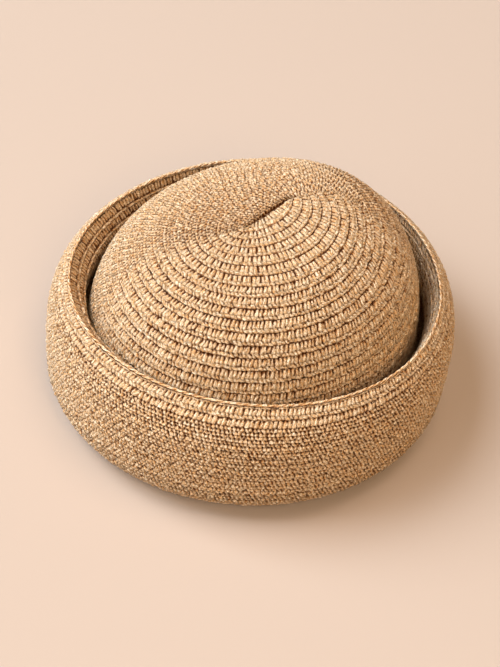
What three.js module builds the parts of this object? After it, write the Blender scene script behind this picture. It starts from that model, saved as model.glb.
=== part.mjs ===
// A crocheted straw hat: an oval domed crown with a turned-up, rolled brim and a chain of stitches on its
// crest. Millimetres. +Z is up, the hat stands on Z = 0, and -Y is its front.
import * as THREE from "three";

// Straw fabric and stitches
const FABRIC = 3.2; // thickness of the crocheted straw
const ROUND = 6.3; // width of one round of stitches
const GROOVE = 0.9; // depth of the groove between two rounds
const GAP = 0.4; // clearance between neighbouring pieces
const FACETS = 50; // facets round the hat

// Crown, an oval dome over a start chain
const CROWN = {
  along: 101.2, // outer half length at the wall
  across: 88.8, // outer half width at the wall
  turn: 49, // direction of the long side at the wall, degrees from +X towards +Y
  x: 0.7, // centre of the wall
  y: -3.7,
  shoulder: 33, // height at which the wall turns upright
  top: 121, // height of the dome
  topX: 3.3, // centre of the start chain
  topY: -5.5,
  power: 2.35, // fullness of the dome, 2 being an ellipse
  first: 3.2, // the first round is this much wider than the others
  ribbed: 21, // rounds up to the last groove
};
const START_CHAIN = { length: 38.4, turn: 42.5, dent: 1.6 };

// Rings of the brim. A ring's radius varies round the hat: x and y move its centre, oval lengthens it in the
// direction ovalTurn, and corner pulls it gently into three corners, one of them at cornerTurn.
const BRIM_RINGS = {
  lip: { radius: 91.8, x: 0.7, y: -3.7, oval: 6.2, ovalTurn: 49, corner: 0, cornerTurn: 0 },
  base: { radius: 96.8, x: 0.7, y: -3.7, oval: 6.2, ovalTurn: 49, corner: 0, cornerTurn: 0 },
  bulge: { radius: 16.9, x: 0.2, y: 3.2, oval: 3.5, ovalTurn: 90, corner: 0, cornerTurn: 0 },
  rim: { radius: 101.9, x: 0.7, y: -4.6, oval: 3.3, ovalTurn: 41, corner: 1.4, cornerTurn: -39 },
};
const BRIM = {
  widest: 18.3, // height of the widest ring, where the bulge is added to the rim's radius
  belly: 1.6, // roundness of the wall below the widest ring, 2 being an ellipse
  crest: 4.7, // the wall leans in as this power of its height above the widest ring
  rise: 1.6, // the rim stands this much higher than its mean at riseTurn, and lower opposite
  riseTurn: 227,
};
const CHAIN = { height: 74.9, radius: 1.1, facets: 6 };

// Inner face of the brim, tucked down between the wall and the crown
const TUCK = {
  depth: 28, // how far it reaches down from the crest
  lean: 22, // mean lean towards the crown, degrees from upright
  leanSwing: 21.5, // it leans this much more at leanTurn, and less opposite
  leanTurn: 244,
  clearance: 2, // least distance from the crown
  blend: 1.2, // softens the bend where it meets that clearance
};
// Hollow inside the fold at the crest, between the tucked fabric and the wall
const FOLD = {
  depth: 6, // depth of its top below the crest
  behind: 3.5, // distance of its top behind the tucked face
  backDepth: 8, // the back of the tucked fabric is even below this depth
  wallReach: 10, // the back of the wall is even from this far along it below the crest
};

const rad = THREE.MathUtils.degToRad;
const lerp = THREE.MathUtils.lerp;
const crestHeight = CHAIN.height - CHAIN.radius - GAP;
const crownBottom = FABRIC + GAP;
const halfCrest = CHAIN.radius; // the crest is flat this far on each side of the chain

function ringRadius(ring, angle) {
  return (
    ring.radius +
    ring.x * Math.cos(angle) +
    ring.y * Math.sin(angle) +
    ring.oval * Math.cos(2 * (angle - rad(ring.ovalTurn))) +
    ring.corner * Math.cos(3 * (angle - rad(ring.cornerTurn)))
  );
}

// Measures an open outline and returns its point and left-hand normal at any distance along it.
function measured(outline) {
  const reach = [0];
  for (let i = 1; i < outline.length; i++) reach.push(reach[i - 1] + outline[i].distanceTo(outline[i - 1]));
  const length = reach[reach.length - 1];
  function at(distance) {
    let i = 1;
    while (i < outline.length - 1 && reach[i] < distance) i++;
    const share = (distance - reach[i - 1]) / (reach[i] - reach[i - 1]);
    const point = outline[i - 1].clone().lerp(outline[i], share);
    const run = outline[i].clone().sub(outline[i - 1]).normalize();
    return { point, normal: new THREE.Vector2(-run.y, run.x) };
  }
  return { length, at };
}

// A lathe surface whose points are then set by place(index in the profile, turn), turn going 0 to 1 round it.
function latheShaped(profile, facets, place) {
  const geometry = new THREE.LatheGeometry(profile, facets);
  const position = geometry.attributes.position;
  for (let i = 0; i <= facets; i++) {
    for (let j = 0; j < profile.length; j++) {
      const point = place(j, (i % facets) / facets);
      position.setXYZ(i * profile.length + j, point.x, point.y, point.z);
    }
  }
  geometry.computeVertexNormals();
  return geometry;
}

// Crown

function domeOutline() {
  const steps = 400;
  const outline = [];
  for (let i = 0; i <= steps; i++) {
    const turn = (i / steps) * (Math.PI / 2);
    const across = CROWN.across * Math.pow(Math.sin(turn), 2 / CROWN.power);
    const rise = Math.pow(Math.max(Math.cos(turn), 0), 2 / CROWN.power);
    outline.push(new THREE.Vector2(across, CROWN.shoulder + (CROWN.top - CROWN.shoulder) * rise));
  }
  outline.push(new THREE.Vector2(CROWN.across, crownBottom));
  return measured(outline);
}

// How much longer than wide a round of the crown is on each side of its centre.
function extraLength(across) {
  return lerp(START_CHAIN.length / 2, CROWN.along - CROWN.across, across / CROWN.across);
}

// A point of the crown: across is the half width of its round, and turn goes round it from the chain's end.
function crownPoint(across, height, turn) {
  const share = across / CROWN.across;
  const angle = 2 * Math.PI * Math.min(turn, 1 - turn);
  const side = turn > 0.5 ? -1 : 1;
  const x = (across + extraLength(across)) * Math.cos(angle);
  const y = side * across * Math.sin(angle);
  const heading = rad(lerp(START_CHAIN.turn, CROWN.turn, share));
  return new THREE.Vector3(
    lerp(CROWN.topX, CROWN.x, share) + x * Math.cos(heading) - y * Math.sin(heading),
    lerp(CROWN.topY, CROWN.y, share) + x * Math.sin(heading) + y * Math.cos(heading),
    height,
  );
}

function crownGeometry() {
  const dome = domeOutline();
  const profile = [new THREE.Vector2(0, CROWN.top - START_CHAIN.dent)];
  for (let half = 1; half <= 2 * CROWN.ribbed; half++) {
    const { point, normal } = dome.at(CROWN.first + (half * ROUND) / 2);
    const sink = half % 2 ? 0 : GROOVE;
    profile.push(point.addScaledVector(normal, -sink));
  }
  profile.push(new THREE.Vector2(CROWN.across, crownBottom));
  const innerSteps = 12;
  for (let i = innerSteps; i > 0; i--) {
    const { point, normal } = dome.at((dome.length * i) / innerSteps);
    profile.push(point.addScaledVector(normal, -FABRIC));
  }
  profile.push(new THREE.Vector2(0, CROWN.top - FABRIC));
  profile.reverse();
  return latheShaped(profile, FACETS, (index, turn) => crownPoint(profile[index].x, profile[index].y, turn));
}

// The crown's outer radius from the hat's axis at a height.
function crownRadius(height, angle) {
  const rise = Math.max(height - CROWN.shoulder, 0) / (CROWN.top - CROWN.shoulder);
  const share = Math.pow(1 - Math.pow(rise, CROWN.power), 1 / CROWN.power);
  const extra = extraLength(CROWN.across * share);
  const centreX = lerp(CROWN.topX, CROWN.x, share);
  const centreY = lerp(CROWN.topY, CROWN.y, share);
  const mean = CROWN.across * share + extra / 2;
  const oval = (extra / 2) * Math.cos(2 * (angle - rad(CROWN.turn)));
  return mean + oval + centreX * Math.cos(angle) + centreY * Math.sin(angle);
}

// Brim

function rimRise(angle) {
  return BRIM.rise * Math.cos(angle - rad(BRIM.riseTurn));
}

// The brim's outer radius at a height given as for the mean rim.
function wallRadius(height, angle) {
  const base = ringRadius(BRIM_RINGS.base, angle);
  const chainRadius = ringRadius(BRIM_RINGS.rim, angle);
  const rim = chainRadius + halfCrest;
  const widest = chainRadius + ringRadius(BRIM_RINGS.bulge, angle);
  if (height < BRIM.widest) {
    const down = 1 - Math.max(height, 0) / BRIM.widest;
    return lerp(base, widest, Math.pow(1 - Math.pow(down, BRIM.belly), 1 / BRIM.belly));
  }
  const up = (height - BRIM.widest) / (crestHeight - BRIM.widest);
  return lerp(widest, rim, Math.pow(up, BRIM.crest));
}

// The brim's wall at its mean radius, from the floor to the crest.
function wallOutline() {
  const steps = 300;
  const outline = [];
  for (let i = 0; i <= steps; i++) {
    const height = crestHeight * Math.pow(i / steps, 2);
    const turn = Math.PI / 4;
    const radius = (wallRadius(height, turn) + wallRadius(height, turn + Math.PI)) / 2;
    outline.push(new THREE.Vector2(radius, height));
  }
  return measured(outline);
}

// Inner face of the tucked fabric, at a depth below the crest.
function tuckRadius(depth, angle) {
  const lean = rad(TUCK.lean + TUCK.leanSwing * Math.cos(angle - rad(TUCK.leanTurn)));
  const sloped = ringRadius(BRIM_RINGS.rim, angle) - halfCrest - depth * Math.tan(lean);
  const nearest = crownRadius(crestHeight - depth, angle) + TUCK.clearance;
  const room = sloped - nearest;
  return nearest + (room + Math.sqrt(room * room + 4 * TUCK.blend * TUCK.blend)) / 2;
}

// Stations go up the wall from the floor, over the crest, down the tucked face and back inside the fold.
// Each one gives the radius and height at an angle round the hat.
function brimStations() {
  const wall = wallOutline();
  const stations = [];
  const add = (radius, height) => stations.push({ radius, height });
  const onFloor = (name, height) => add((angle) => ringRadius(BRIM_RINGS[name], angle), () => height);
  const onWall = (distance, sink) => {
    const { point, normal } = wall.at(distance);
    add(
      (angle) => wallRadius(point.y, angle) + sink * normal.x,
      (angle) => point.y + sink * normal.y + (rimRise(angle) * point.y) / crestHeight,
    );
  };
  const onTuck = (depth, behind) => {
    add(
      (angle) => tuckRadius(depth, angle) + behind,
      (angle) => crestHeight - depth + rimRise(angle),
    );
  };

  onFloor("lip", 0);
  onFloor("base", 0);
  const halves = Math.floor((2 * wall.length) / ROUND);
  for (let half = halves - 1; half >= 0; half--) {
    const sink = half % 2 || half === 0 ? 0 : GROOVE;
    onWall(wall.length - (half * ROUND) / 2, sink);
  }
  onTuck(0, 0);
  for (let depth = ROUND / 2, half = 1; depth < TUCK.depth; depth += ROUND / 2, half++) {
    onTuck(depth, half % 2 ? 0 : GROOVE);
  }
  onTuck(TUCK.depth, 0);
  onTuck(TUCK.depth, FABRIC);
  onTuck((TUCK.depth + FOLD.backDepth) / 2, FABRIC);
  onTuck(FOLD.backDepth, FABRIC);
  onTuck(FOLD.depth, FOLD.behind);
  const innerSteps = 9;
  for (let i = innerSteps; i > 0; i--) onWall(((wall.length - FOLD.wallReach) * i) / innerSteps, FABRIC);
  onFloor("base", FABRIC);
  onFloor("lip", FABRIC);
  stations.push(stations[0]);
  return stations;
}

function brimGeometry() {
  const stations = brimStations();
  const profile = stations.map((station) => new THREE.Vector2(station.radius(0), station.height(0)));
  return latheShaped(profile, FACETS, (index, turn) => {
    const angle = 2 * Math.PI * turn;
    const radius = stations[index].radius(angle);
    const height = stations[index].height(angle);
    return new THREE.Vector3(radius * Math.cos(angle), radius * Math.sin(angle), height);
  });
}

// Edge chain

function chainGeometry() {
  const section = [];
  for (let i = 0; i <= CHAIN.facets; i++) {
    const turn = (2 * Math.PI * (i % CHAIN.facets)) / CHAIN.facets;
    section.push(new THREE.Vector2(CHAIN.radius * Math.cos(turn), CHAIN.radius * Math.sin(turn)));
  }
  return latheShaped(section, FACETS, (index, turn) => {
    const angle = 2 * Math.PI * turn;
    const radius = ringRadius(BRIM_RINGS.rim, angle) + section[index].x;
    const height = CHAIN.height + rimRise(angle) + section[index].y;
    return new THREE.Vector3(radius * Math.cos(angle), radius * Math.sin(angle), height);
  });
}

function piece(name, geometry, color, roughness) {
  const mesh = new THREE.Mesh(geometry, new THREE.MeshStandardMaterial({ color, roughness, metalness: 0 }));
  mesh.name = name;
  return mesh;
}

const hat = new THREE.Group();
hat.add(piece("crown", crownGeometry(), 0xcda677, 0.78));
hat.add(piece("brim", brimGeometry(), 0xc39b6c, 0.8));
hat.add(piece("edge_chain", chainGeometry(), 0xdfbe94, 0.72));

export default hat;
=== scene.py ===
# Looks of a crocheted straw hat: every stitch of the crown, the turned-up brim and the chain on its crest.
# Shapes are worked out in millimetres in the frame's axes and turned into metres when a mesh is made.
import math

import bpy
import numpy as np
from mathutils import Matrix, Vector


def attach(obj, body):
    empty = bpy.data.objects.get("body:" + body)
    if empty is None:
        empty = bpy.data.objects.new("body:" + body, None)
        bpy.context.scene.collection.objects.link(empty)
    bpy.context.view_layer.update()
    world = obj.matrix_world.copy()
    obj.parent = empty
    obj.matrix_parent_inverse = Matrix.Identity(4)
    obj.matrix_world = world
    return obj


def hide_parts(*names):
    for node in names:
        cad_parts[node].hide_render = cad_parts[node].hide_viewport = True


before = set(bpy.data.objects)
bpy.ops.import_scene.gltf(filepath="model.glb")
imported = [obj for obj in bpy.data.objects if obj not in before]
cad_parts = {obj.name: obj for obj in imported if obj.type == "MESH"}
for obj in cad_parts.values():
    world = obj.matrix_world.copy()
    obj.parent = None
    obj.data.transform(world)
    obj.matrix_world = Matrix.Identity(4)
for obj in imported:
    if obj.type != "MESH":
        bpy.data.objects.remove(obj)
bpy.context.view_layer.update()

MM = 0.001
SEED = 11

# Straw fabric
FABRIC = 3.2
GAP = 0.4

# Points on the outlines and on a line round the hat that are used for measuring
FINE_DOME = 3001
FINE_WALL = 1501
FINE_TURN = 1441

# Small steps for a surface's slope, across it in millimetres and round it in turns, and the least divisor
STEP_ACROSS = 0.05
STEP_ROUND = 1e-4
TINY = 1e-9

# Crown, as in the CAD. Its power is the fullness of the dome, 2 being an ellipse.
CROWN = dict(along=101.2, across=88.8, turn=49, x=0.7, y=-3.7, shoulder=33, top=121, top_x=3.3, top_y=-5.5,
             power=2.35)
# The start chain is as long as in the CAD. Its bow, its hook and the shape of its slit are this script's own.
START_CHAIN = dict(length=38.4, turn=42.5, bow=1.5, lean=4.3, hook=30, hook_from=0.6, fade=18, dent=2.0,
                   dent_wide=1.3, dip=1.3, dip_wide=0.5)

# Brim, as in the CAD. A ring's x and y move its centre, and its radius varies round it, as an oval and with
# three soft corners.
RINGS = {
    "lip": dict(radius=91.8, x=0.7, y=-3.7, oval=6.2, oval_turn=49, corner=0, corner_turn=0),
    "base": dict(radius=96.8, x=0.7, y=-3.7, oval=6.2, oval_turn=49, corner=0, corner_turn=0),
    "bulge": dict(radius=16.9, x=0.2, y=3.2, oval=3.5, oval_turn=90, corner=0, corner_turn=0),
    "rim": dict(radius=101.9, x=0.7, y=-4.6, oval=3.3, oval_turn=41, corner=1.4, corner_turn=-39),
}
BRIM = dict(widest=18.3, belly=1.6, crest=4.7, rise=1.6, rise_turn=227)
CHAIN = dict(height=74.9, radius=1.1)
# The brim's inside leans over to the crown a little further than in the CAD.
TUCK = dict(lean=24, lean_swing=21, lean_turn=232, clearance=0.9, blend=1.2)

# The chain on the crest, as seen: two plies that wind round each other, the points along a link and around,
# and the depth, which paints shade in the crease between the plies, and the tone that the material shows
EDGE_STITCHES = 143  # in the chain, and in each of the brim's first two rounds
ROPE = dict(height=74.3, ply=0.5, spread=0.24, columns=7, around=10, lowest=0.15, rise=0.75, tone=0.45)

HALF_CREST = CHAIN["radius"]
CREST = CHAIN["height"] - CHAIN["radius"] - GAP
CROWN_BOTTOM = FABRIC + GAP

STITCH = 4.4  # width of a stitch
PAD = 4.9  # width of a stitch in the crown's first rounds

# The crown's rounds are a little higher below its shoulder. On the right they lie nearer to its top.
ROUNDS = dict(first=3.2, top=6.25, side=6.65, wide_from=10, slit=0.3, squeeze=1.2, least=0.3, end=0.5)
DRIFT = dict(right=11.5, right_power=3.5, growth=0.22, growth_to=66, side=10, side_from=88, end_from=112,
             left=6, left_turn=0.36, left_power=2, even=0.6)
# First and last round of each of the crown's pieces
CROWN_PIECES = {"crown_top": (0, 9), "crown_shoulder": (10, 14), "crown_side": (15, 25)}
PAD_ROUNDS = 7  # in the first rounds the stitches are wider and their legs upright
LOW_FROM = 13  # the legs are longer in the rounds from here on
HIDDEN_FROM = 18  # the brim hides the crown's rounds from here on
DEEP_FROM = 22  # and these lie deep in the groove
HIDDEN_GRID = dict(rows=5, columns=4)  # points of a stitch there
DEEP_GRID = dict(rows=3, columns=2)
# No lines run between the rounds behind the start chain, nor at the right and the left further down.
FAR_SIDE = dict(first_middle=0.27, first_half=0.27, middle=0.17, half=0.31, soft=0.09, rounds=9)

EDGE_ROUNDS = (-1.0, 6.3, 10.5)  # where the brim's first two rounds start and end, from the crest down
WALL_STITCHES = 162
WALL_ROUND = 4.0  # height of the brim's other rounds
WALL_SHIFT = 1.9  # each of them lies this far ahead of the one above
# First and last edge of each of the brim's pieces. The last one ends where the brim does.
BRIM_PIECES = {"brim_edge": (0, 5), "brim_upper": (5, 9), "brim_middle": (9, 13), "brim_lower": (13, None)}
UNEVEN_WALL = 8  # at random, a round starts up to one part in this many of a stitch further back
COARSE_FROM = 13  # the brim's rounds below its widest place have fewer points in a stitch
COARSE_GRID = dict(rows=5, columns=6)
BRIM_OFFSET = -0.1  # the brim's stitches are set into the fabric this far
BACK = dict(thin=0.9, growth=0.6)  # the brim's thickness at the crest, and what each millimetre down adds

INNER_STITCHES = 140
INNER_EDGES = (-1.0, 4.8, 10.2, 15.6, 21.0, 26.4)  # where the rounds of the brim's inside start and end
INNER_FINE = 3  # rounds of the brim's inside that show
INNER_GRID = dict(rows=5, columns=5)  # points of a stitch in the others
INNER_SHIFT = 0.3  # of a stitch, from one of the inside's rounds to the next
INNER_BACK_ROWS = (22, 16, 9, 5, 3)  # where the back of that fabric has its points


def lerp(a, b, share):
    return a + (b - a) * share


def smooth(value):
    value = np.clip(value, 0, 1)
    return value * value * (3 - 2 * value)


def bell(turn, middle):
    """1 at the middle turn and 0 half a turn away."""
    return (1 + np.cos(2 * math.pi * (turn - middle))) / 2


def soft_room(room, blend):
    """The room where there is some, and next to nothing where there is none."""
    return (room + np.sqrt(room * room + 4 * blend ** 2)) / 2


# Surfaces: each takes arrays of s, the distance across the rounds, and turn, 0 to 1 round the hat.

class Outline:
    """An open outline in the plane, measured along its length."""

    def __init__(self, across, height):
        self.across, self.height = across, height
        steps = np.hypot(np.diff(across), np.diff(height))
        self.reach = np.concatenate(([0.0], np.cumsum(steps)))
        self.length = self.reach[-1]

    def at(self, s):
        return np.interp(s, self.reach, self.across), np.interp(s, self.reach, self.height)


def dome_outline():
    turn = np.linspace(0, math.pi / 2, FINE_DOME)
    across = CROWN["across"] * np.sin(turn) ** (2 / CROWN["power"])
    rise = np.clip(np.cos(turn), 0, 1) ** (2 / CROWN["power"])
    height = CROWN["shoulder"] + (CROWN["top"] - CROWN["shoulder"]) * rise
    return Outline(np.append(across, CROWN["across"]), np.append(height, CROWN_BOTTOM))


def extra_length(across):
    return lerp(START_CHAIN["length"] / 2, CROWN["along"] - CROWN["across"], across / CROWN["across"])


DOME = dome_outline()


def chain_bow(place):
    """How far the start chain bows to the back, from -1 to 1 along it. Its right end hooks back."""
    hook = np.maximum(place - START_CHAIN["hook_from"], 0) ** 2
    return START_CHAIN["bow"] + START_CHAIN["lean"] * place - START_CHAIN["hook"] * hook


def crown_surface(s, turn):
    across, height = DOME.at(s)
    share = across / CROWN["across"]
    angle = 2 * math.pi * turn
    x = (across + extra_length(across)) * np.cos(angle)
    y = across * np.sin(angle) + chain_bow(np.cos(angle)) * np.exp(-across / START_CHAIN["fade"])
    heading = np.radians(lerp(START_CHAIN["turn"], CROWN["turn"], share))
    dent = START_CHAIN["dent"] * np.exp(-(s / START_CHAIN["dent_wide"]) ** 2)
    return np.stack((
        lerp(CROWN["top_x"], CROWN["x"], share) + x * np.cos(heading) - y * np.sin(heading),
        lerp(CROWN["top_y"], CROWN["y"], share) + x * np.sin(heading) + y * np.cos(heading),
        height - dent + 0 * x,
    ), axis=-1)


def ring_radius(name, angle):
    ring = RINGS[name]
    return (ring["radius"] + ring["x"] * np.cos(angle) + ring["y"] * np.sin(angle)
            + ring["oval"] * np.cos(2 * (angle - math.radians(ring["oval_turn"])))
            + ring["corner"] * np.cos(3 * (angle - math.radians(ring["corner_turn"]))))


def crown_radius(height, angle):
    rise = np.maximum(height - CROWN["shoulder"], 0) / (CROWN["top"] - CROWN["shoulder"])
    share = (1 - rise ** CROWN["power"]) ** (1 / CROWN["power"])
    extra = extra_length(CROWN["across"] * share)
    mean = CROWN["across"] * share + extra / 2
    oval = extra / 2 * np.cos(2 * (angle - math.radians(CROWN["turn"])))
    centre_x = lerp(CROWN["top_x"], CROWN["x"], share)
    centre_y = lerp(CROWN["top_y"], CROWN["y"], share)
    return mean + oval + centre_x * np.cos(angle) + centre_y * np.sin(angle)


def rim_rise(angle):
    return BRIM["rise"] * np.cos(angle - math.radians(BRIM["rise_turn"]))


def wall_radius(height, angle):
    base = ring_radius("base", angle)
    chain = ring_radius("rim", angle)
    rim = chain + HALF_CREST
    widest = chain + ring_radius("bulge", angle)
    down = np.clip(1 - height / BRIM["widest"], 0, 1)
    below = lerp(base, widest, (1 - down ** BRIM["belly"]) ** (1 / BRIM["belly"]))
    up = np.clip((height - BRIM["widest"]) / (CREST - BRIM["widest"]), 0, 1)
    return np.where(height < BRIM["widest"], below, lerp(widest, rim, up ** BRIM["crest"]))


def wall_outline():
    """From the crest down to the floor."""
    height = CREST * np.linspace(1, 0, FINE_WALL) ** 2
    turn = math.pi / 4
    radius = (wall_radius(height, turn) + wall_radius(height, turn + math.pi)) / 2
    return Outline(radius, height)


WALL = wall_outline()
FLAT = RINGS["base"]["radius"] - RINGS["lip"]["radius"]


def wall_surface(s, turn):
    """From the crest's middle down the brim's outside and then inwards along the floor to the lip."""
    angle = 2 * math.pi * turn
    height = WALL.at(np.maximum(s, 0))[1] + 0 * angle
    flat = np.clip((s - WALL.length) / FLAT, 0, 1)
    radius = lerp(wall_radius(height, angle), ring_radius("lip", angle), flat) + np.minimum(s, 0)
    return np.stack((radius * np.cos(angle), radius * np.sin(angle),
                     height + rim_rise(angle) * height / CREST), axis=-1)


def tuck_surface(s, turn):
    """From the crest's middle down the brim's inside, towards the crown."""
    angle = 2 * math.pi * turn
    over = np.minimum(s, 0)
    s = np.maximum(s, 0)
    lean = np.radians(TUCK["lean"] + TUCK["lean_swing"] * np.cos(angle - math.radians(TUCK["lean_turn"])))
    sloped = ring_radius("rim", angle) - HALF_CREST - s * np.tan(lean)
    nearest = crown_radius(CREST - s, angle) + TUCK["clearance"]
    radius = nearest + soft_room(sloped - nearest, TUCK["blend"]) - over
    return np.stack((radius * np.cos(angle), radius * np.sin(angle), CREST - s + rim_rise(angle)), axis=-1)


def rope_line(turn):
    angle = 2 * math.pi * turn
    radius = ring_radius("rim", angle)
    height = ROPE["height"] + rim_rise(angle)
    return np.stack((radius * np.cos(angle), radius * np.sin(angle), height), axis=-1)


def normals_of(surface, s, turn, side):
    """Unit normals, out of the fabric on the side that is shown."""
    across = surface(s + STEP_ACROSS, turn) - surface(s - STEP_ACROSS, turn)
    around = surface(s, turn + STEP_ROUND) - surface(s, turn - STEP_ROUND)
    normal = np.cross(across, around) * side
    return normal / np.maximum(np.linalg.norm(normal, axis=-1, keepdims=True), TINY)


# Rounds: each edge is a function of turn.

def crown_edge(k):
    """Where the crown's round k starts."""
    def edge(turn):
        if k == 0:
            return ROUNDS["slit"] + 0 * turn
        even = ROUNDS["first"] + ROUNDS["top"] * k
        even += (ROUNDS["side"] - ROUNDS["top"]) * max(k - ROUNDS["wide_from"], 0)
        right = DRIFT["right"] + DRIFT["growth"] * min(even, DRIFT["growth_to"])
        past = (even - DRIFT["growth_to"]) / (DRIFT["side_from"] - DRIFT["growth_to"])
        right = lerp(right, DRIFT["side"], smooth(past))
        drift = (right * bell(turn, 0) ** DRIFT["right_power"]
                 + DRIFT["left"] * bell(turn, DRIFT["left_turn"]) ** DRIFT["left_power"] - DRIFT["even"])
        drift *= 1 - smooth((even - DRIFT["end_from"]) / (DOME.length - DRIFT["end_from"]))
        least = ROUNDS["slit"] + ROUNDS["least"] * k
        place = least + soft_room(even - drift - least, ROUNDS["squeeze"])
        return np.minimum(place, DOME.length - ROUNDS["end"])
    return edge


def level_edge(s):
    """The edge of a round that runs level."""
    def edge(turn):
        return s + 0 * turn
    return edge


# Stitches, in millimetres: x runs along the round and y across it, down from where it starts.

def strand(ax, ay, bx, by, top_a, top_b, radius, arch=0.1):
    """A strand from a to b, with its crest's heights there over the surface. arch lifts its middle."""
    ends = radius if isinstance(radius, tuple) else (radius, radius)
    return dict(a=(ax, ay), b=(bx, by), top=(top_a, top_b), radius=ends, arch=arch)


def hole(x, y, wide, high, deep, lean=0.0):
    """A dip between strands, with its half sizes. It leans to the right downwards."""
    return dict(x=x, y=y, wide=wide, high=high, deep=deep, lean=lean)


def stitch_kind(width, high, rows, columns, strands, holes=(), jitter=1.0, gather=0.0):
    """A kind of stitch: rows and columns of points, its strands and holes and how unevenly it is made.

    gather brings the rows closer to the round's start and end."""
    return dict(width=width, high=high, rows=rows, columns=columns, strands=strands, holes=holes,
                jitter=jitter, gather=gather)


V_SHIFT = -1.25  # each row of Vs lies this far beside the one above
V_HALF = 0.35  # half the height of a V, as a share of its row's


def v_middle(row):
    """The middle of a row's V within the stitch."""
    x = row * V_SHIFT
    return x - round(x / STITCH) * STITCH


def v_rows(high, rows):
    """Rows of stitches like a V, of two legs each."""
    rise = high / rows
    made = []
    for row in range(rows):
        x, y = v_middle(row), (row + 0.5) * rise
        top, foot = y - V_HALF * rise, y + V_HALF * rise
        made.append(strand(x - 1.35, top, x - 0.8, foot, -0.25, 0.1, (1.0, 1.15)))
        made.append(strand(x + 1.3, top, x + 0.75, foot, -0.3, 0.05, (1.0, 1.1)))
    return made


def v_holes(high, rows, wide, tall, lean):
    """The holes above each V and between two of them."""
    rise = high / rows
    made = []
    for row in range(rows):
        x = v_middle(row)
        made.append(hole(x, row * rise + 0.35, wide, tall, 2.4, lean))
        made.append(hole(x + 2.15, row * rise + 0.25, wide, tall, 2.2, lean))
    return made


def pad(x, y, low, width=1.0, lean=0.7):
    """Two legs side by side, from y down to low, with a chain of two links under them."""
    return [
        strand(x - width, y, x - width - lean, low, 0.0, 0.1, (1.0, 1.15), 0.05),
        strand(x + width, y, x + width - lean, low, -0.05, 0.05, (1.0, 1.1), 0.05),
        strand(x - 2.2, low + 1.3, x - 0.5, low + 1.95, 0.0, 0.25, 0.85),
        strand(x, low + 1.3, x + 1.7, low + 1.95, 0.0, 0.25, 0.85),
    ]


def pad_holes(x, y, low, groove, lean=0.7):
    """The slots beside and between the legs, and the dots of the groove above them."""
    slope = -lean / (low - y)
    return [
        hole(x + 2.15, y, 0.4, 1.0, 1.8, slope),
        hole(x + 0.05, y - 0.1, 0.34, 0.85, 1.5, slope),
        hole(x + 1.3, groove, 0.4, 0.3, 0.5),
        hole(x - 0.9, groove, 0.4, 0.3, 0.5),
        hole(x - 0.25, low + 1.35, 0.34, 0.6, 1.5, 0.5),
        hole(x + 1.95, low + 1.35, 0.34, 0.6, 1.5, 0.5),
    ]


# A round of the crown is this high where its stitches are drawn. It is fitted to the real round later.
PAD_HIGH = 6.25
LEGS_HIGH = 6.3
LOW_HIGH = 6.6

PAD_LEGS = stitch_kind(
    PAD, PAD_HIGH, rows=12, columns=11,
    strands=[
        strand(-1.1, 1.1, -1.05, 3.5, 0.0, 0.1, 1.2, 0.05),
        strand(1.1, 1.1, 1.05, 3.5, 0.0, 0.1, 1.15, 0.05),
        strand(-2.3, 4.75, -0.5, 5.25, -0.05, 0.15, 0.8),
        strand(0.2, 4.75, 2.0, 5.25, -0.05, 0.15, 0.8),
    ],
    holes=[
        hole(2.4, 1.6, 0.42, 1.3, 1.8),
        hole(0, 1.2, 0.3, 1.0, 1.2),
        hole(1.2, 0, 0.9, 0.3, 1.2),
        hole(-1.2, 0, 0.9, 0.3, 1.2),
        hole(-0.1, 5.0, 0.3, 0.55, 1.1, 0.5),
        hole(2.3, 5.0, 0.3, 0.55, 1.1, 0.5),
    ],
    gather=0.3,
)
LEG_PAIR = stitch_kind(
    STITCH, LEGS_HIGH, rows=12, columns=10,
    strands=pad(0.2, 0.9, 3.2),
    holes=pad_holes(0.2, 0.9, 3.2, 0),
    jitter=1.4, gather=0.3,
)
LOW_LEGS = stitch_kind(
    STITCH, LOW_HIGH, rows=12, columns=10,
    strands=pad(0.1, 1.0, 3.6, 1.05, 0.5),
    holes=pad_holes(0.1, 1.0, 3.6, 0, 0.5),
    jitter=1.4, gather=0.35,
)
DOTTED = stitch_kind(
    STITCH, LEGS_HIGH, rows=12, columns=10,
    strands=v_rows(LEGS_HIGH, 3),
    holes=v_holes(LEGS_HIGH, 3, 0.6, 0.75, 0.4),
    jitter=0.5,
)
WRONG_SIDE = stitch_kind(STITCH, LEGS_HIGH, rows=4, columns=3, strands=[
    strand(-1.1, 0.6, -1.1, 4.4, -0.3, 0.0, 1.0),
    strand(1.1, 0.6, 1.1, 4.4, -0.3, 0.0, 1.0),
])
EDGE_LEGS = stitch_kind(
    STITCH, 7.3, rows=12, columns=10,
    strands=[strand(-2.2, 0.5, 2.2, 0.5, -0.3, -0.3, 0.7)] + pad(0.2, 1.9, 4.3),
    holes=pad_holes(0.2, 1.9, 4.3, 1.1),
    jitter=1.3,
)
SECOND_LEGS = stitch_kind(
    STITCH, 4.2, rows=8, columns=10,
    strands=[
        strand(-0.5, 0.8, -1.3, 3.2, -0.1, 0.0, (1.0, 1.1), 0.1),
        strand(1.6, 0.8, 0.85, 3.2, -0.15, 0.0, (1.0, 1.05), 0.1),
    ],
    holes=[
        hole(0.1, 0.5, 0.4, 0.8, 1.7, -0.3),
        hole(2.25, 0.6, 0.36, 0.8, 1.6, -0.3),
    ],
    jitter=1.2,
)
WALL_STITCH = stitch_kind(
    STITCH, WALL_ROUND, rows=8, columns=9,
    strands=v_rows(WALL_ROUND, 2),
    holes=v_holes(WALL_ROUND, 2, 0.55, 0.62, 0.3),
    jitter=1.1,
)
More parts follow.
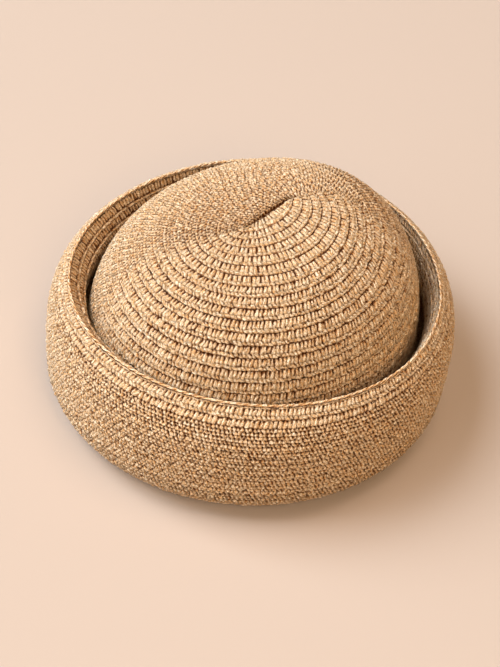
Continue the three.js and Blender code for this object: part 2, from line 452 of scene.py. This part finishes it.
INNER_TOP = stitch_kind(STITCH, 5.8, rows=9, columns=8, strands=[
    strand(-0.6, 1.5, -1.3, 4.8, -0.2, -0.2, 0.9),
    strand(1.4, 1.5, 0.8, 4.8, -0.2, -0.2, 0.8),
])
INNER_LEGS = stitch_kind(
    STITCH, 5.4, rows=10, columns=8,
    strands=[
        strand(-2.2, 0.7, 2.2, 0.75, 0.2, 0.2, 0.5),
        strand(-0.6, 1.8, -1.3, 4.3, -0.3, -0.3, 0.9),
        strand(1.4, 1.8, 0.8, 4.3, -0.3, -0.3, 0.8),
    ],
    holes=[
        hole(1.1, 0, 1.2, 0.5, 1.5),
        hole(-1.1, 0, 1.2, 0.5, 1.5),
        hole(2.2, 2.6, 0.35, 1.1, 0.9),
    ],
)

# How unevenly the stitches are made: spreads in millimetres, and as shares for radius and dip
JITTER = dict(x=0.2, y=0.2, top=0.14, radius=0.07, dip=0.25)
FLOOR_OF_HOLES = -1.6  # the lowest and the highest that a stitch may reach over the surface
PROUDEST = 0.4
SKIRT = 1.6  # steepness of the valley beside a strand
ROUNDNESS = 0.65  # of a strand's top, 1 for half a circle
SEAM = 0.02  # two pieces end this far from the edge that they share
RELIEF = dict(share=1.25, least=0.1)  # what is left of the stitches' heights where a round is narrow
PLAIN = dict(columns=200, depth=0.6)  # a surface without stitches: its points round the hat, and its shade


def strand_field(kind, x, y, stitch, count, rng):
    """Heights of the uppermost strand over a round's points, its tone and the way along and across it."""
    shape = (len(y), len(x))
    best = dict(height=np.full(shape, FLOOR_OF_HOLES), tone=np.full(shape, 0.5), along=np.zeros(shape),
                across=np.zeros(shape), edge=np.ones(shape))
    jitter = {key: value * kind["jitter"] for key, value in JITTER.items()}
    for s in kind["strands"]:
        shift_x = rng.normal(0, jitter["x"], (2, count))
        shift_y = rng.normal(0, jitter["y"], (2, count))
        shift_top = rng.normal(0, jitter["top"], count)
        swell = 1 + rng.normal(0, jitter["radius"], count)
        tone = rng.random(count)
        for offset in (-1, 0, 1):
            own = (stitch + offset) % count
            ax = s["a"][0] + offset * kind["width"] + shift_x[0, own]
            bx = s["b"][0] + offset * kind["width"] + shift_x[1, own]
            ay = s["a"][1] + shift_y[0, own]
            by = s["b"][1] + shift_y[1, own]
            run_x, run_y = bx - ax, by - ay
            length = np.hypot(run_x, run_y)
            px, py = x - ax, y[:, None] - ay
            share = np.clip((px * run_x + py * run_y) / length ** 2, 0, 1)
            off_x, off_y = px - share * run_x, py - share * run_y
            away = np.hypot(off_x, off_y)
            radius = lerp(s["radius"][0], s["radius"][1], share) * swell[own]
            crest = lerp(s["top"][0], s["top"][1], share) + shift_top[own]
            crest += s["arch"] * 4 * share * (1 - share)
            inside = ROUNDNESS * (np.sqrt(np.maximum(radius ** 2 - away ** 2, 0)) - radius)
            height = crest + np.where(away < radius, inside, -ROUNDNESS * radius - SKIRT * (away - radius))
            side = np.sign(off_x * run_y - off_y * run_x)
            higher = height > best["height"]
            # edge, 0 in a strand's middle and 1 at its side, is the mask for the painted shade on its sides.
            found = dict(height=height, tone=tone[own] + 0 * away, along=share * length, across=side * away,
                         edge=np.minimum(away / radius, 1))
            for key, value in found.items():
                best[key] = np.where(higher, value, best[key])
    dip = np.zeros(shape)
    for h in kind["holes"]:
        shift = rng.normal(0, (jitter["x"], jitter["y"]), (count, 2))
        deep = h["deep"] * (1 + rng.normal(0, jitter["dip"], count))
        for offset in (-1, 0, 1):
            own = (stitch + offset) % count
            below = y[:, None] - h["y"] - shift[own, 1]
            beside = x - h["x"] - offset * kind["width"] - shift[own, 0] - h["lean"] * below
            dip = np.maximum(dip, deep[own] * np.exp(-(beside / h["wide"]) ** 2 - (below / h["high"]) ** 2))
    best["height"] = np.clip(best["height"] - dip, FLOOR_OF_HOLES, PROUDEST)
    return best


def blended(field, other, share):
    """The one field turning into the other."""
    made = {key: np.where(share > 0.5, other[key], field[key]) for key in field}
    made["height"] = lerp(field["height"], other["height"], share)
    return made


def far_side(k):
    """How far the dotted stitches behind the start chain take the round k over, at a turn."""
    def share(turn):
        down = min(k / FAR_SIDE["rounds"], 1)
        half = lerp(FAR_SIDE["first_half"], FAR_SIDE["half"], down)
        away = np.abs((turn - lerp(FAR_SIDE["first_middle"], FAR_SIDE["middle"], down) + 0.5) % 1 - 0.5)
        return smooth((half - away) / FAR_SIDE["soft"])
    return share


# Meshes

# depth is the mask of the painted shade: 0 paints a point as dark as in a hole, 1 as light as on top of a
# strand.
ATTRIBUTES = {"depth": 1.0, "tone": 0.5, "along": 0.0, "across": 0.0, "edge": 0.0}
UV_NAME = "OFBake"
BANDS = 3  # the long rings are laid out in this many bands, one above the other
LAYOUT_START, LAYOUT_WIDE = 0.01, 0.96  # of a band, as shares of the layout's width


class Skin:
    """The closed skin of one piece: rings of points, one after the other, each joined to the one before.

    A ring is its points' indices, their turns and its row in the layout."""

    def __init__(self, flip):
        self.flip = flip
        self.points, self.faces, self.layout = [], [], []
        self.values = {name: [] for name in ATTRIBUTES}
        self.count = self.rows = 0
        self.first = self.last = None

    def add_faces(self, corners, across, row, flip=None):
        """Adds faces by their corners, each with its place across the layout, 0 to 1, and its row there."""
        band = np.clip(np.floor(across.min(axis=1, keepdims=True) * BANDS), 0, BANDS - 1)
        place = np.stack((across * BANDS - band, row, band + 0 * row), axis=-1)
        if self.flip if flip is None else flip:
            corners, place = corners[:, ::-1], place[:, ::-1]
        self.faces.append(corners)
        self.layout.append(place.reshape(-1, 3))

    def grid(self, points, turns, **values):
        """Adds rows of closed rings and joins the first of them to the ring before."""
        rows, columns = points.shape[:2]
        index = self.count + np.arange(rows * columns).reshape(rows, columns)
        self.points.append(points.reshape(-1, 3))
        for name, default in ATTRIBUTES.items():
            value = values.get(name, default)
            self.values[name].append((np.zeros((rows, columns)) + value).ravel())

        def quads(grid):
            corners = (grid[:-1, :-1], grid[1:, :-1], grid[1:, 1:], grid[:-1, 1:])
            return np.stack(corners, axis=-1).reshape(-1, 4)

        across, row = np.meshgrid(np.arange(columns + 1) / columns, self.rows + np.arange(rows))
        if rows > 1:
            self.add_faces(quads(np.column_stack((index, index[:, 0]))), quads(across), quads(row))
        start = (index[0], turns, self.rows)
        self.count += rows * columns
        self.rows += rows
        if self.last is None:
            self.first = start
        else:
            self.join(self.last, start)
        self.last = (index[-1], turns, self.rows - 1)

    def join(self, ring_a, ring_b):
        """Fills the strip between two rings that may have different numbers of points."""
        (a, turns_a, row_a), (b, turns_b, row_b) = ring_a, ring_b
        n, m = len(a), len(b)
        ends_a = np.append(turns_a[1:], turns_a[0] + 1)
        ends_b = np.append(turns_b[1:], turns_b[0] + 1)
        from_a = np.argsort(np.concatenate((ends_a, ends_b)), kind="stable") < n
        i = np.cumsum(from_a) - from_a
        j = np.cumsum(~from_a) - ~from_a
        third = np.where(from_a, a[(i + 1) % n], b[(j + 1) % m])
        across = np.stack((i / n, j / m, np.where(from_a, (i + 1) / n, (j + 1) / m)), axis=-1)
        row = np.stack((row_a + 0 * i, row_b + 0 * i, np.where(from_a, row_a, row_b)), axis=-1)
        self.add_faces(np.stack((a[i % n], b[j % m], third), axis=-1), across, row)

    def close(self):
        """Joins the last ring to the first."""
        index, turns, _ = self.first
        self.join(self.last, (index, turns, self.rows))
        self.rows += 1

    def ladder(self, ring, row, inward):
        """Fills a long narrow ring across its width."""
        half = len(ring[0]) // 2
        left, right = ring[0][:half], ring[0][::-1][:half]
        place = np.arange(half) / half
        across = np.stack((place[:-1], place[1:], place[1:], place[:-1]), axis=-1)
        corners = np.stack((left[:-1], left[1:], right[1:], right[:-1]), axis=-1)
        self.add_faces(corners, across, row + np.array([0, 0, 1, 1]) + 0 * across, inward)


def mesh_object(name, skin, material):
    points = np.concatenate(skin.points) * MM
    corners = np.concatenate([f.ravel() for f in skin.faces]).astype(np.int32)
    sides = np.concatenate([np.full(len(f), f.shape[1]) for f in skin.faces])
    starts = (np.cumsum(sides) - sides).astype(np.int32)
    mesh = bpy.data.meshes.new(name)
    mesh.vertices.add(len(points))
    mesh.vertices.foreach_set("co", points.astype(np.float32).ravel())
    mesh.loops.add(len(corners))
    mesh.loops.foreach_set("vertex_index", corners)
    mesh.polygons.add(len(starts))
    mesh.polygons.foreach_set("loop_start", starts)
    mesh.update(calc_edges=True)
    mesh.polygons.foreach_set("use_smooth", np.ones(len(starts), bool))
    for key, parts in skin.values.items():
        attribute = mesh.attributes.new(key, "FLOAT", "POINT")
        attribute.data.foreach_set("value", np.concatenate(parts).astype(np.float32))
    across, row, band = np.concatenate(skin.layout).T
    row = (row - row.min() + 0.5) / (row.max() - row.min() + 1)
    layout = np.column_stack((LAYOUT_START + LAYOUT_WIDE * across, (band + row) / BANDS))
    mesh.uv_layers.new(name=UV_NAME).data.foreach_set("uv", layout.astype(np.float32).ravel())
    mesh.materials.append(material)
    mesh.update()
    piece = bpy.data.objects.new(name, mesh)
    bpy.context.scene.collection.objects.link(piece)
    return piece


def line_reach(surface, s_of):
    """Turns along a line round the surface and how far along it each of them lies."""
    fine = np.linspace(0, 1, FINE_TURN)
    points = surface(s_of(fine), fine)
    steps = np.linalg.norm(np.diff(points, axis=0), axis=1)
    return fine, np.concatenate(([0.0], np.cumsum(steps)))


def add_round(skin, surface, side, start, end, kind, rng, count=None, phase=0.0, offset=0.0, inward=False,
              least_z=None, other=None, ends=(False, False), slit=False):
    """Adds one round of stitches. Its rows go from start to end, or back where the skin runs inward.

    other is a second kind and how far it takes over at a turn. ends says whether a row is added close to the
    start and to the end. slit lets the round fall into the slit of the start chain."""
    def middle(turn):
        return (start(turn) + end(turn)) / 2

    fine, reach = line_reach(surface, middle)
    if count is None:
        count = round(reach[-1] / kind["width"])
    columns = kind["columns"]
    centres = np.arange(count * columns) + 0.5
    turns = np.interp(centres / (count * columns) * reach[-1], reach, fine)
    place = centres / columns + phase
    stitch = np.floor(place).astype(int)
    x = (place - stitch - 0.5) * kind["width"]
    share = (np.arange(kind["rows"]) + 0.5) / kind["rows"]
    share -= kind["gather"] * np.sin(2 * math.pi * share) / (2 * math.pi)
    share = np.concatenate(([SEAM] * ends[0], share, [1 - SEAM] * ends[1]))
    if inward:
        share = share[::-1]
    field = strand_field(kind, x, share * kind["high"], stitch % count, count, rng)
    if other is not None:
        second = strand_field(other[0], x, share * other[0]["high"], stitch % count, count, rng)
        field = blended(field, second, other[1](turns) + 0 * share[:, None])
    s_start, s_end = start(turns), end(turns)
    s = s_start + share[:, None] * (s_end - s_start)
    if slit:
        dip = START_CHAIN["dip"] * np.exp(-(s / START_CHAIN["dip_wide"]) ** 2)
        field["height"] = np.maximum(field["height"] - dip, FLOOR_OF_HOLES)
    relief = np.clip((s_end - s_start) / kind["high"] * RELIEF["share"], RELIEF["least"], 1)
    grid_turn = turns + 0 * s
    normal = normals_of(surface, s, grid_turn, side)
    points = surface(s, grid_turn) + normal * (field["height"] * relief + offset)[..., None]
    if least_z is not None:
        points[..., 2] = np.maximum(points[..., 2], least_z)
    # Painted shade: the lower a point lies in its stitch, the darker the straw is painted there.
    depth = (field["height"] - FLOOR_OF_HOLES) / (PROUDEST - FLOOR_OF_HOLES)
    skin.grid(points, turns, depth=depth, tone=field["tone"], along=field["along"], across=field["across"],
              edge=field["edge"])


def add_plain(skin, surface, side, s_list, offset):
    """Adds rows of a plain surface, each set off by its own distance."""
    turns = (np.arange(PLAIN["columns"]) + 0.5) / PLAIN["columns"]
    s = np.asarray(s_list, float)[:, None] + 0 * turns
    grid_turn = turns + 0 * s
    normal = normals_of(surface, s, grid_turn, side)
    points = surface(s, grid_turn) + normal * np.reshape(offset, (-1, 1, 1))
    skin.grid(points, turns, depth=PLAIN["depth"])


def crown_kind(k):
    if k < PAD_ROUNDS:
        return PAD_LEGS
    kind = LEG_PAIR if k < LOW_FROM else LOW_LEGS
    if k < HIDDEN_FROM:
        return kind
    return dict(kind, **(HIDDEN_GRID if k < DEEP_FROM else DEEP_GRID))


def crown_piece(name, first, last, material, rng):
    """The crown's rounds from the first to the last, outside and inside."""
    skin = Skin(False)
    for k in range(first, last + 1):
        ends = (k == first, k == last)
        add_round(skin, crown_surface, 1, crown_edge(k), crown_edge(k + 1), crown_kind(k), rng,
                  phase=rng.random(), other=(DOTTED, far_side(k)), ends=ends, slit=k == 0)
    for k in range(last, first - 1, -1):
        add_round(skin, crown_surface, -1, crown_edge(k), crown_edge(k + 1), WRONG_SIDE, rng, offset=FABRIC,
                  inward=True)
    if first == 0:
        skin.ladder(skin.first, -2, False)
        skin.ladder(skin.last, skin.rows + 1, True)
    else:
        skin.close()
    return mesh_object(name, skin, material)


def brim_edges():
    total = WALL.length + FLAT
    count = round((total - EDGE_ROUNDS[-1]) / WALL_ROUND)
    return list(EDGE_ROUNDS) + list(np.linspace(EDGE_ROUNDS[-1], total, count + 1)[1:])


def back_of(rows):
    """Distance from the face of the brim's fabric to its back, which is thin at the crest."""
    return np.minimum(FABRIC, BACK["thin"] + np.maximum(rows, 0) * BACK["growth"])


def brim_piece(name, first, last, material, rng):
    """The brim's outside between two of its edges."""
    edges = brim_edges()
    last = last or len(edges) - 1
    skin = Skin(False)
    for k in range(first, last):
        kind = (EDGE_LEGS, SECOND_LEGS, WALL_STITCH)[min(k, 2)]
        if k >= COARSE_FROM:
            kind = dict(kind, **COARSE_GRID)
        count = EDGE_STITCHES if k < 2 else WALL_STITCHES
        phase = -k * WALL_SHIFT / STITCH + rng.random() / UNEVEN_WALL
        start, end = level_edge(edges[k]), level_edge(edges[k + 1])
        add_round(skin, wall_surface, 1, start, end, kind, rng, count=count, phase=phase, offset=BRIM_OFFSET,
                  least_z=0.0, ends=(k == first, k == last - 1))
    rows = np.linspace(edges[last] - SEAM, edges[first] + SEAM, last - first + 2)
    add_plain(skin, wall_surface, 1, rows, -back_of(rows))
    skin.close()
    return mesh_object(name, skin, material)


def inner_piece(name, material, rng):
    """The brim's inside, which leans down to the crown."""
    skin = Skin(True)
    for k, (start, end) in enumerate(zip(INNER_EDGES, INNER_EDGES[1:])):
        kind = INNER_TOP if k == 0 else INNER_LEGS
        if k >= INNER_FINE:
            kind = dict(kind, **INNER_GRID)
        add_round(skin, tuck_surface, -1, level_edge(start), level_edge(end), kind, rng,
                  count=INNER_STITCHES, phase=INNER_SHIFT * k, offset=BRIM_OFFSET, ends=(k == 0, False))
    rows = np.array([INNER_EDGES[-1], *INNER_BACK_ROWS, INNER_EDGES[0] + SEAM])
    add_plain(skin, tuck_surface, -1, rows, -back_of(rows))
    skin.close()
    return mesh_object(name, skin, material)


def rope_piece(name, material):
    """The chain of stitches on the crest, a rope of two thin plies that wind round each other."""
    count = EDGE_STITCHES * ROPE["columns"]
    turns = (np.arange(count) + 0.5) / count
    line = rope_line(turns)
    ahead = rope_line(turns + STEP_ROUND) - rope_line(turns - STEP_ROUND)
    out = np.cross(ahead, np.array([0.0, 0.0, 1.0]))
    out /= np.linalg.norm(out, axis=1, keepdims=True)
    rise = np.cross(out, ahead)
    rise /= np.linalg.norm(rise, axis=1, keepdims=True)
    phi = np.linspace(0, 2 * math.pi, ROPE["around"], endpoint=False)[:, None]
    local = phi - math.pi * EDGE_STITCHES * turns
    ply, spread = ROPE["ply"], ROPE["spread"]
    radius = spread * np.abs(np.cos(local)) + np.sqrt(ply ** 2 - (spread * np.sin(local)) ** 2)
    points = line + radius[..., None] * (np.cos(phi)[..., None] * out + np.sin(phi)[..., None] * rise)
    thinnest, thickest = radius.min(), radius.max()
    # Painted shade: the rope is darker where it is thin, in the crease between its plies.
    depth = ROPE["lowest"] + ROPE["rise"] * (radius - thinnest) / (thickest - thinnest)
    along = turns * EDGE_STITCHES * STITCH
    skin = Skin(True)
    skin.grid(points, turns, depth=depth, tone=ROPE["tone"], along=along, across=radius)
    skin.close()
    return mesh_object(name, skin, material)


# Materials

# The straw's colours as they look on screen, 0 to 255. The first three are painted shade: they show one above
# the other in a stitch, at these heights, 0 in a hole and 1 at the top, so that holes and low places are
# painted darker. Bright strands and fibres turn towards the last one, a paler tone that on the tops of
# strands is also a painted highlight.
STRAW_AND_SHADE_COLOURS = dict(deep=(100, 52, 14), dark=(154, 96, 42), dull=(215, 164, 108), light=(250, 230, 202))
SHADE_HEIGHTS = dict(deep=0.12, dark=0.36, dull=0.6)
STRAW = dict(roughness=0.45, specular=0.15, bump=1.0, bump_distance=0.0008)
STREAKS = dict(along=0.45, across=2.4, tone=97.0, scale=1.0, detail=2, weight=0.6)
GRAIN = dict(scale=1400, detail=1, weight=0.4)
NOISE_SPREAD = (0.38, 0.62)  # a noise stays between these for the most part
SIDE_SHADE = dict(power=3.0, weight=-0.15)  # painted shade on a strand's sides: how they count in its height
FIBRES = dict(weight=0.3, middle=0.13)  # how the fibres count in it
TONE_AND_HIGHLIGHT = dict(tone=0.25, low=0.25, high=1.0)  # how tone and fibre lead to the light colour, which is painted highlight where it grows towards the tops of strands


def node(tree, kind, inputs=None, **settings):
    """A node with its settings and the values of its inputs."""
    made = tree.nodes.new(kind)
    for key, value in settings.items():
        setattr(made, key, value)
    for key, value in (inputs or {}).items():
        made.inputs[key].default_value = value
    return made


def link(tree, source, target):
    tree.links.new(source, target)


def maths(tree, operation, first, second=None, third=None):
    made = node(tree, "ShaderNodeMath", operation=operation)
    for value, slot in zip((first, second, third), made.inputs):
        if isinstance(value, (int, float)):
            slot.default_value = value
        elif value is not None:
            link(tree, value, slot)
    return made.outputs[0]


def spread_out(tree, value, low, high):
    """Spreads a value that lies between low and high over 0 to 1."""
    made = node(tree, "ShaderNodeMapRange", {"From Min": low, "From Max": high})
    link(tree, value, made.inputs["Value"])
    return made.outputs[0]


def noise(tree, place, settings):
    """A noise at a place, spread over 0 to 1."""
    made = node(tree, "ShaderNodeTexNoise", {"Scale": settings["scale"], "Detail": settings["detail"]})
    link(tree, place, made.inputs["Vector"])
    return spread_out(tree, made.outputs["Fac"], *NOISE_SPREAD)


def linear(r, g, b):
    """A colour as it looks on screen, 0 to 255, as the shader takes it."""
    def one(v):
        v /= 255
        return v / 12.92 if v <= 0.04045 else ((v + 0.055) / 1.055) ** 2.4
    return one(r), one(g), one(b)


def straw_material():
    """Straw: painted shade in the holes and low places, a tone for each strand, fine streaks along it and
    bright fibres, with a painted highlight on the tops of strands.
    """
    material = bpy.data.materials.new("straw")
    material.use_nodes = True
    tree = material.node_tree
    tree.nodes.clear()
    out = node(tree, "ShaderNodeOutputMaterial")
    shader = node(tree, "ShaderNodeBsdfPrincipled",
                  {"Roughness": STRAW["roughness"], "Specular IOR Level": STRAW["specular"]})
    link(tree, shader.outputs[0], out.inputs[0])
    depth, tone, along, across, edge = (node(tree, "ShaderNodeAttribute", attribute_name=key).outputs["Fac"]
                                        for key in ATTRIBUTES)
    streak_place = node(tree, "ShaderNodeCombineXYZ")
    for slot, (key, value) in enumerate((("along", along), ("across", across), ("tone", tone))):
        link(tree, maths(tree, "MULTIPLY", value, STREAKS[key]), streak_place.inputs[slot])
    streak = noise(tree, streak_place.outputs[0], STREAKS)
    grain = noise(tree, node(tree, "ShaderNodeTexCoord").outputs["Object"], GRAIN)
    fibre = maths(tree, "MULTIPLY", grain, GRAIN["weight"])
    fibre = maths(tree, "MULTIPLY_ADD", streak, STREAKS["weight"], fibre)
    # Painted shade: the sides of a strand and the dull fibres count as lower than its top, and what counts as
    # lower is painted darker.
    shade_level = maths(tree, "MULTIPLY_ADD", maths(tree, "POWER", edge, SIDE_SHADE["power"]), SIDE_SHADE["weight"], depth)
    shade_level = maths(tree, "SUBTRACT", shade_level, FIBRES["middle"])
    shade_level = maths(tree, "MULTIPLY_ADD", fibre, FIBRES["weight"], shade_level)
    colours = {key: (*linear(*colour), 1) for key, colour in STRAW_AND_SHADE_COLOURS.items()}
    ramp = node(tree, "ShaderNodeValToRGB")
    first, last = ramp.color_ramp.elements
    first.position, first.color = SHADE_HEIGHTS["deep"], colours["deep"]
    last.position, last.color = SHADE_HEIGHTS["dull"], colours["dull"]
    ramp.color_ramp.elements.new(SHADE_HEIGHTS["dark"]).color = colours["dark"]
    link(tree, shade_level, ramp.inputs[0])
    # Tone and fibre choose how far the colour goes towards the light one. The share grows with the height in
    # the stitch, so it also paints a highlight on the tops of strands.
    tone_and_highlight = maths(tree, "MULTIPLY_ADD", tone, TONE_AND_HIGHLIGHT["tone"], fibre)
    tone_and_highlight = spread_out(tree, tone_and_highlight, TONE_AND_HIGHLIGHT["low"], TONE_AND_HIGHLIGHT["high"])
    mix = node(tree, "ShaderNodeMix", data_type="RGBA")
    link(tree, maths(tree, "MULTIPLY", tone_and_highlight, shade_level), mix.inputs["Factor"])
    link(tree, ramp.outputs[0], mix.inputs[6])
    mix.inputs[7].default_value = colours["light"]
    link(tree, mix.outputs[2], shader.inputs["Base Color"])
    bump = node(tree, "ShaderNodeBump", {"Strength": STRAW["bump"], "Distance": STRAW["bump_distance"]})
    link(tree, fibre, bump.inputs["Height"])
    link(tree, bump.outputs[0], shader.inputs["Normal"])
    return material


def plain_material(name, colour, roughness):
    material = bpy.data.materials.new(name)
    material.use_nodes = True
    shader = material.node_tree.nodes["Principled BSDF"]
    shader.inputs["Base Color"].default_value = (*linear(*colour), 1)
    shader.inputs["Roughness"].default_value = roughness
    return material


# Camera: its angles are in degrees, and its lens is measured in pixels of a frame this high.
FRAME_HIGH = 667
CAMERA = dict(place=(-4.71, -576.55, 597.62), elevation=44.977, azimuth=0.434, roll=7.27, focal=1392.4)
SENSOR = 36
CLIP = (0.01, 20)  # the nearest and the furthest that it sees, in metres


def add_camera():
    data = bpy.data.cameras.new("camera")
    data.sensor_width = SENSOR
    data.lens = CAMERA["focal"] * SENSOR / FRAME_HIGH
    data.clip_start, data.clip_end = CLIP
    camera = bpy.data.objects.new("camera", data)
    bpy.context.scene.collection.objects.link(camera)
    e, a, roll = (math.radians(CAMERA[k]) for k in ("elevation", "azimuth", "roll"))
    forward = Vector((math.sin(a) * math.cos(e), math.cos(a) * math.cos(e), -math.sin(e)))
    right = Vector((math.cos(a), -math.sin(a), 0))
    up = right.cross(forward)
    turned = right * math.cos(roll) + up * math.sin(roll)
    top = up * math.cos(roll) - right * math.sin(roll)
    axes = Matrix((turned, top, -forward)).transposed().to_4x4()
    camera.matrix_world = Matrix.Translation(Vector(CAMERA["place"]) * MM) @ axes
    bpy.context.scene.camera = camera


# Lamps: azimuth and elevation, in degrees, say where they shine from. Their power is in watts.
LAMP_AWAY = 5600
LAMPS = {
    "key": dict(azimuth=174, elevation=50, size=3600, power=465, colour=(0.78, 0.89, 1.0)),
    "left": dict(azimuth=196, elevation=22, size=9000, power=480, colour=(0.86, 0.92, 0.96)),
    "front": dict(azimuth=285, elevation=45, size=3000, power=225, colour=(1.0, 0.76, 0.48)),
    "top": dict(azimuth=0, elevation=80, size=3000, power=130, colour=(1.0, 0.8, 0.64)),
}
FLOOR = dict(half=4.0, colour=(176, 157, 143), roughness=0.9)  # half its side, in metres
WORLD = dict(colour=(1.0, 0.85, 0.7, 1), strength=0.05)


def add_lamp(name, azimuth, elevation, size, power, colour):
    data = bpy.data.lights.new(name, "AREA")
    data.size = size * MM
    data.energy = power
    data.color = colour
    lamp = bpy.data.objects.new(name, data)
    bpy.context.scene.collection.objects.link(lamp)
    a, e = math.radians(azimuth), math.radians(elevation)
    place = Vector((math.cos(a) * math.cos(e), math.sin(a) * math.cos(e), math.sin(e))) * LAMP_AWAY
    lamp.location = place * MM
    lamp.rotation_euler = (-place).to_track_quat("-Z", "Y").to_euler()


def add_floor():
    half = FLOOR["half"]
    mesh = bpy.data.meshes.new("floor")
    corners = [(-half, -half, 0), (half, -half, 0), (half, half, 0), (-half, half, 0)]
    mesh.from_pydata(corners, [], [(0, 1, 2, 3)])
    mesh.materials.append(plain_material("floor", FLOOR["colour"], FLOOR["roughness"]))
    floor = bpy.data.objects.new("floor", mesh)
    bpy.context.scene.collection.objects.link(floor)


def add_world():
    world = bpy.data.worlds.new("studio")
    world.use_nodes = True
    background = world.node_tree.nodes["Background"]
    background.inputs["Color"].default_value = WORLD["colour"]
    background.inputs["Strength"].default_value = WORLD["strength"]
    bpy.context.scene.world = world
    bpy.context.scene.view_settings.view_transform = "Standard"


add_camera()
add_floor()
add_world()
for name, settings in LAMPS.items():
    add_lamp(name, **settings)

rng = np.random.default_rng(SEED)
straw = straw_material()
pieces = []
for name, rounds in CROWN_PIECES.items():
    pieces.append((crown_piece(name, *rounds, straw, rng), "crown", "crown_straw"))
for name, edges in BRIM_PIECES.items():
    pieces.append((brim_piece(name, *edges, straw, rng), "brim", "brim_straw"))
pieces.append((inner_piece("brim_inner", straw, rng), "brim", "brim_straw"))
pieces.append((rope_piece("edge_rope", straw), "edge_chain", "edge_straw"))
for piece, replaced, slot in pieces:
    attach(piece, "root")
    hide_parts(replaced)
